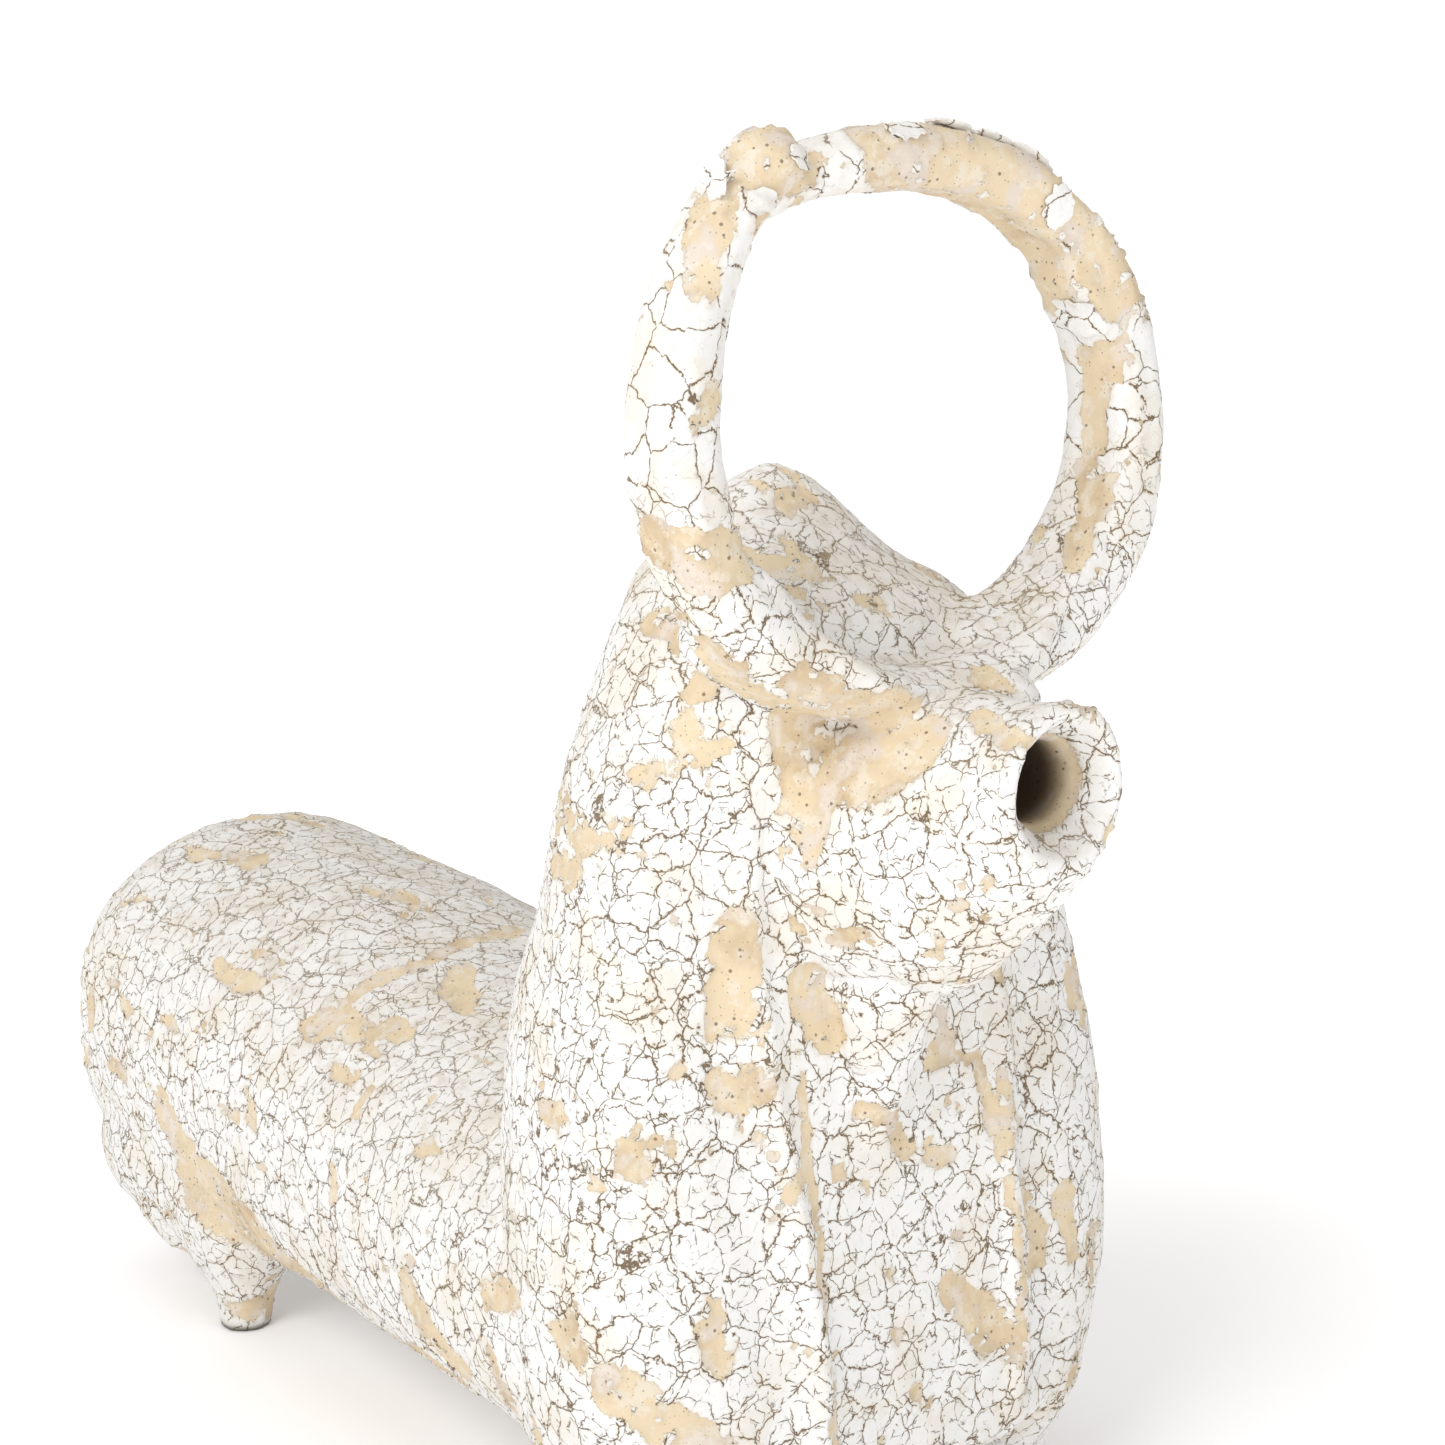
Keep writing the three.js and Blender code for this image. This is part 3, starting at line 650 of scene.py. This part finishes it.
    # Painted shade in the bore, the pit and the hollow.
    colour = blend(tree, calc(tree, "MULTIPLY", recess_shade, 0.93), colour, PAINTED_RECESS_SHADE)
    wire(tree, shader.inputs["Base Color"], colour)
    wire(tree, shader.inputs["Roughness"], calc(tree, "ADD", calc(tree, "MULTIPLY", grain, 0.25), 0.62))
    wire(tree, shader.inputs["Specular IOR Level"], 0.35)

    thick = calc(tree, "MULTIPLY", calc(tree, "SUBTRACT", 1.0, shown), 0.6)
    cut = calc(tree, "MULTIPLY", calc(tree, "ADD", line, calc(tree, "MULTIPLY", rim, 0.4)), -0.7)
    cut = calc(tree, "MULTIPLY", cut, calc(tree, "SUBTRACT", 1.0, shown))
    height = calc(tree, "ADD", calc(tree, "ADD", thick, cut), calc(tree, "MULTIPLY", grain, 0.22))
    bump = add_node(tree, "ShaderNodeBump", {"Height": height, "Strength": 0.8, "Distance": 0.5 * MM})
    wire(tree, shader.inputs["Normal"], bump.outputs[0])
    return material


# ---------------------------------------------------------------- cutting the skin into its pieces
def piece_regions():
    """Each piece with the block of space that holds it, in the order in which they are cut off."""
    neck_top = BROW_LOW.z + 9 * MM
    horn_back = HORN_PLANE + 17 * MM
    root = BROW_HIGH.x - 9 * MM
    lap = RIGHT_HIGH.x + 2 * MM
    ring_top = RING_MIDDLE + 20 * MM
    leg_top = BARREL_LOW.z + 3 * MM
    head_back = CHEST_LOW.y + 1 * MM
    head_half = FACE_HIGH.x + 4 * MM
    return [
        ("rump_cap", (-FAR, RUMP_LOW.y, -FAR), (FAR, FAR, FAR)),
        ("right_hind_leg", (-FAR, BARREL_LOW.y, -FAR), (0, FAR, leg_top)),
        ("left_hind_leg", (0, BARREL_LOW.y, -FAR), (FAR, FAR, leg_top)),
        ("hind_barrel", (-FAR, BARREL_LOW.y, -FAR), (FAR, FAR, FAR)),
        ("muzzle_tube", (-FAR, -FAR, MUZZLE_LOW.z - 6 * MM), (FAR, MUZZLE_HIGH.y, MUZZLE_HIGH.z + 6 * MM)),
        ("right_horn", (-FAR, -FAR, ring_top), (lap, FAR, FAR)),
        ("left_horn", (lap, -FAR, ring_top), (FAR, FAR, FAR)),
        ("right_horn_root", (-FAR, -FAR, neck_top), (-root, horn_back, FAR)),
        ("left_horn_root", (root, -FAR, neck_top), (FAR, horn_back, FAR)),
        ("brow_band", (-FAR, -FAR, neck_top - 5 * MM), (FAR, horn_back - 4 * MM, BROW_HIGH.z)),
        ("withers_cap", (-FAR, -FAR, neck_top), (FAR, FAR, FAR)),
        ("jaw_wedge", (-head_half, -FAR, JAW_LOW.z - 6 * MM), (head_half, head_back, JAW_HIGH.z)),
        ("face_block", (-FAR, -FAR, JAW_HIGH.z), (FAR, head_back, FAR)),
        ("right_fore_leg", (-FAR, -FAR, -FAR), (0, FAR, SHELL_LOW.z + 1 * MM)),
        ("left_fore_leg", (0, -FAR, -FAR), (FAR, FAR, SHELL_LOW.z + 1 * MM)),
        ("chest_panel", (-CHEST_HIGH.x, -FAR, -FAR), (CHEST_HIGH.x, CHEST_HIGH.y, FAR)),
    ]


def finish_piece(piece, node, material):
    """Gives a cut piece its material, its shading and its place in the frame."""
    piece.name = f"{node}_clay"
    piece.data.name = piece.name
    piece.data.materials.clear()
    piece.data.materials.append(material)
    piece.data.shade_smooth()
    piece.data.set_sharp_from_angle(angle=math.radians(60))
    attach(piece, "root")
    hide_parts(node)


# Pieces of slip that have lifted: where each lies (a share of a piece's box), its length and width
# in millimetres, how far it is turned on the surface, and how far its rim curls up.
FLAKES = [
    ("right_horn", (0.90, 0.05, 0.94), 9, 6, 0.9, 0.12),
    ("right_horn", (0.22, 0.45, 0.97), 18, 8, 0.9, 0.6),
    ("right_horn", (0.62, 0.1, 0.86), 11, 8, 0.3, 0.1),
    ("left_horn", (0.34, 0.3, 1.0), 13, 8, 0.2, 0.25),
    ("left_horn", (0.50, 0.5, 1.0), 19, 7, 0.05, 0.5),
    ("left_horn", (0.60, 0.5, 1.0), 18, 7, 0.0, 0.5),
    ("left_horn", (0.72, 0.5, 0.98), 19, 7, 0.1, 0.55),
    ("left_horn", (0.84, 0.5, 0.92), 18, 7, -0.1, 0.5),
    ("left_horn", (0.94, 0.5, 0.80), 15, 8, 0.1, 0.5),
    ("left_horn", (0.70, 0.1, 0.84), 13, 10, 0.8, 0.08),
    ("left_horn", (0.82, 0.35, 0.64), 17, 12, 1.2, 0.15),
    ("jaw_wedge", (0.95, 0.3, 0.25), 14, 6, 1.5, 0.4),
]


def lifted_flake(number, flake, piece, material):
    """A thin curled shell with a ragged outline, lying on the piece's surface."""
    node, share, length, width, turn, curl = flake
    draw = random.Random(number)
    corners = [vert.co for vert in piece.data.vertices]
    tree = BVHTree.FromPolygons(corners, [face.vertices[:] for face in piece.data.polygons])
    spot, normal, _, _ = tree.find_nearest(Vector(place_in(node, share)))
    along = normal.cross(Vector((0, 1, 0))).normalized()
    along.rotate(Matrix.Rotation(turn, 3, normal))
    across = normal.cross(along)
    around, rings = 26, 5
    ragged = [1 + draw.uniform(-0.16, 0.16) for _ in range(around)]
    bm = bmesh.new()

    def drape(x, y, lift):
        """The two faces of the shell above one point of the clay."""
        below, facing, _, _ = tree.find_nearest(spot + along * x + across * y)
        foot = below + facing * (lift + 0.1 * MM)
        return bm.verts.new(foot), bm.verts.new(foot + facing * FLAKE_THICK)

    centre = drape(0, 0, 0)
    loops = []
    for ring in range(1, rings + 1):
        r = ring / rings
        loops.append([])
        for step in range(around):
            angle = step / around * 2 * math.pi
            spread = r * (1 + (ragged[step] - 1) * r) * MM / 2
            run, side_step = length * math.cos(angle), width * math.sin(angle)
            lift = curl * width * 0.5 * MM * r ** 3 * max(0, math.sin(angle + 0.6))
            loops[-1].append(drape(spread * run, spread * side_step, lift))
    for step in range(around):
        after = (step + 1) % around
        for side in (0, 1):
            bm.faces.new((centre[side], loops[0][step][side], loops[0][after][side]))
            for inner, outer in zip(loops, loops[1:]):
                bm.faces.new((inner[step][side], outer[step][side], outer[after][side], inner[after][side]))
        rim, rim_after = loops[-1][step], loops[-1][after]
        bm.faces.new((rim[0], rim_after[0], rim_after[1], rim[1]))
    bmesh.ops.recalc_face_normals(bm, faces=bm.faces)
    shell = new_object(f"slip_flake_{number:02d}", bm)
    shell.data.materials.append(material)
    shell.data.shade_smooth()
    shell.data.set_sharp_from_angle(angle=math.radians(50))
    paint(shell.data, "wide_cells", np.ones(len(shell.data.vertices)))
    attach(shell, "root")


def join(first, second):
    bm = bmesh.new()
    bm.from_mesh(first.data)
    bm.from_mesh(second.data)
    bm.to_mesh(first.data)
    bm.free()
    discard(second)


LAYERS = ("bare", "lying", "wide_cells", "foot_rim_and_shade", "recess_shade")


def surface_of(skin):
    """Where the whole skin's vertices are, with what is painted there and how they face."""
    mesh = skin.data
    tree = KDTree(len(mesh.vertices))
    for vert in mesh.vertices:
        tree.insert(vert.co, vert.index)
    tree.balance()
    painted = {}
    for layer in LAYERS:
        painted[layer] = np.zeros(len(mesh.vertices), np.float32)
        mesh.attributes[layer].data.foreach_get("value", painted[layer])
    return tree, painted, normals_of(mesh)


def match_surface(piece, surface):
    """Along its cuts a piece keeps the whole skin's paint and shading, so that no joint shows."""
    tree, painted, facing = surface
    mesh = piece.data
    nearest = [tree.find(vert.co)[1] for vert in mesh.vertices]
    for layer in LAYERS:
        paint(mesh, layer, painted[layer][nearest])
    mesh.normals_split_custom_set_from_vertices([tuple(normal) for normal in facing[nearest]])


def cut_pieces(skin, materials):
    pieces = {}
    surface = surface_of(skin)
    for name, low, high in piece_regions():
        tool = block(low, high)
        part = combine(duplicate(skin, name), tool, "INTERSECT")
        combine(skin, tool, "DIFFERENCE")
        discard(tool)
        pieces[name] = part
    pieces["forequarters_shell"] = skin
    for side in ("right", "left"):
        join(pieces[f"{side}_horn"], pieces.pop(f"{side}_horn_root"))
    for node, piece in pieces.items():
        slot = "bare_clay" if node == "brow_band" else "crackle_slip"
        finish_piece(piece, node, materials[slot])
        match_surface(piece, surface)
    return pieces


skin = outside_skin()
sculpt(skin)
hollow = inside_hollow()
# The hollow's inner faces are shown as bare clay in full painted shade.
for layer in ("bare", "recess_shade"):
    paint(hollow.data, layer, np.ones(len(hollow.data.vertices)))
combine(skin, hollow, "DIFFERENCE")
discard(hollow)
crack_nodes, grog_nodes = crack_group(), speck_group()
materials = {name: body_material(name, crack_nodes, grog_nodes) for name in ("crackle_slip", "bare_clay")}
pieces = cut_pieces(skin, materials)
for number, flake in enumerate(FLAKES):
    lifted_flake(number, flake, pieces[flake[0]], materials["crackle_slip"])


# ---------------------------------------------------------------- camera, floor and light
VIEW_TURN = math.radians(-39)  # camera's bearing, 0 looking along +Y
VIEW_TILT = math.radians(10)  # it looks down by this much
VIEW_BACK = 834 * MM
VIEW_ASIDE = 54 * MM
VIEW_HEIGHT = 375 * MM
VIEW_LENS = 64.8
SENSOR_WIDTH = 36
GLOW_NEAR = 0.18  # the floor's own glow under the bull
GLOW_GAIN = 0.42  # and how much stronger it is far away
GLOW_START = 0.12  # metres from the middle where it starts to rise
GLOW_END = 0.6

backwards = Vector((math.sin(VIEW_TURN), -math.cos(VIEW_TURN), 0))
sideways = Vector((math.cos(VIEW_TURN), math.sin(VIEW_TURN), 0))


def place_camera():
    data = bpy.data.cameras.new("camera")
    data.lens = VIEW_LENS
    data.sensor_width = SENSOR_WIDTH
    data.clip_start = 0.01
    camera = bpy.data.objects.new("camera", data)
    bpy.context.scene.collection.objects.link(camera)
    camera.location = backwards * VIEW_BACK + sideways * VIEW_ASIDE + Vector((0, 0, VIEW_HEIGHT))
    camera.rotation_euler = (math.pi / 2 - VIEW_TILT, 0, VIEW_TURN)
    bpy.context.scene.camera = camera


def floor():
    bm = bmesh.new()
    bmesh.ops.create_grid(bm, x_segments=1, y_segments=1, size=6)
    plane = new_object("floor", bm)
    material = bpy.data.materials.new("floor")
    material.use_nodes = True
    tree = material.node_tree
    shader = tree.nodes["Principled BSDF"]
    shader.inputs["Base Color"].default_value = (0.9, 0.895, 0.9, 1)
    shader.inputs["Roughness"].default_value = 0.9
    shader.inputs["Emission Color"].default_value = (1, 0.99, 0.99, 1)
    place = tree.nodes.new("ShaderNodeTexCoord").outputs["Object"]
    away = vector_calc(tree, "LENGTH", {0: place}, "Value")
    glow = calc(tree, "MULTIPLY", between(tree, away, GLOW_START, GLOW_END), GLOW_GAIN)
    wire(tree, shader.inputs["Emission Strength"], calc(tree, "ADD", glow, GLOW_NEAR))
    plane.data.materials.append(material)


def softbox(name, place, aim, size, power):
    data = bpy.data.lights.new(name, "AREA")
    data.size = size
    data.energy = power
    lamp = bpy.data.objects.new(name, data)
    bpy.context.scene.collection.objects.link(lamp)
    lamp.location = place
    lamp.rotation_euler = (Vector(aim) - Vector(place)).to_track_quat("-Z", "Y").to_euler()


def lights():
    world = bpy.data.worlds.new("studio")
    world.use_nodes = True
    tree = world.node_tree
    seen = tree.nodes.new("ShaderNodeLightPath").outputs["Is Camera Ray"]
    sky = tree.nodes["Background"]
    sky.inputs["Color"].default_value = (1, 0.99, 0.98, 1)
    wire(tree, sky.inputs["Strength"], calc(tree, "ADD", calc(tree, "MULTIPLY", seen, 0.6), 0.5))
    bpy.context.scene.world = world
    middle = (0, 0, 0.2)
    softbox("key", backwards * 1.3 - sideways * 0.8 + Vector((0, 0, 1.3)), middle, 0.9, 17)
    softbox("top", Vector((0, 0.5, 1.5)), middle, 1.2, 5)
    softbox("fill", backwards * 1.3 + sideways * 1.1 + Vector((0, 0, 0.4)), middle, 1.2, 5)
    bpy.context.scene.view_settings.view_transform = "Standard"


place_camera()
floor()
lights()
